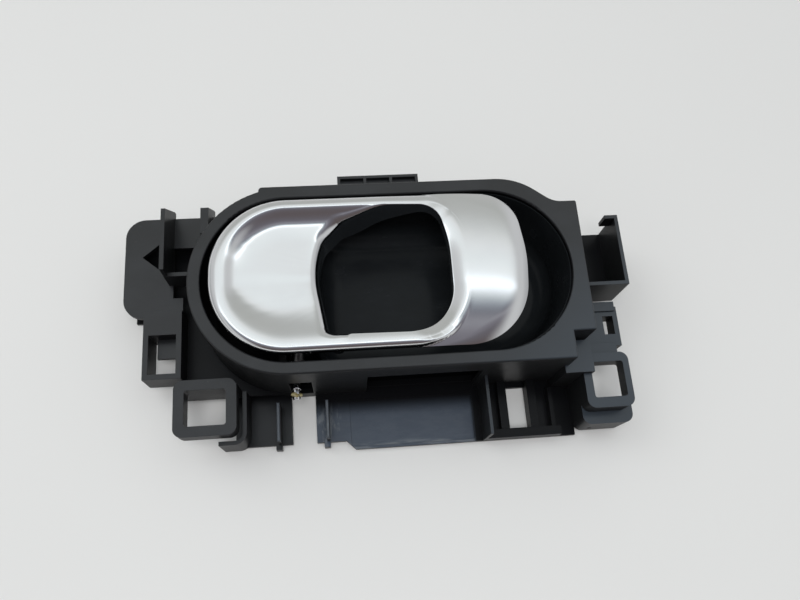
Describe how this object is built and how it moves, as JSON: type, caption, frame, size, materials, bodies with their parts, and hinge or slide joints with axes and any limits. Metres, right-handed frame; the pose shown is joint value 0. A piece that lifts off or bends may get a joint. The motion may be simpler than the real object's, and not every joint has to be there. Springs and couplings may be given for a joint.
{
  "type": "car interior door handle",
  "caption": "Interior door handle: a chromed lever with a dish and a pull panel swings on a pin in a black moulded bezel with a finger bowl, clip eyes and a cable peg.",
  "frame": {"origin": "middle of the handle's outline seen from the front, on the plane of the back edges that it lies on", "axes": "+Z out of the front, towards the user; +X along the lever from the dish to the pull panel; +Y towards the straight top flange"},
  "size_m": [0.206, 0.11, 0.0475],
  "materials": {
    "moulded_black": "fine grained moulding",
    "gloss_black": "polished moulding",
    "satin_chrome": "satin plating",
    "pin_steel": "drawn",
    "spring_steel": "drawn",
    "bumper_rubber": "matte"
  },
  "bodies": {
    "base": {"housing": "moulded_black", "finger_bowl": "gloss_black", "pivot_pin": "pin_steel", "rest_bumper": "bumper_rubber", "return_spring": "spring_steel"},
    "pull_lever": {"lever": "satin_chrome"}
  },
  "joints": [
    {"name": "lever_pull", "type": "hinge", "parent": "base", "child": "pull_lever", "pos_m": [-0.0326, 0.0066, 0.0305], "axis": [0, -1, 0], "range_deg": [0, 16], "stiffness_Nm_per_rad": 0.25, "springref_deg": -11.46, "deforming": ["return_spring"]}
  ]
}
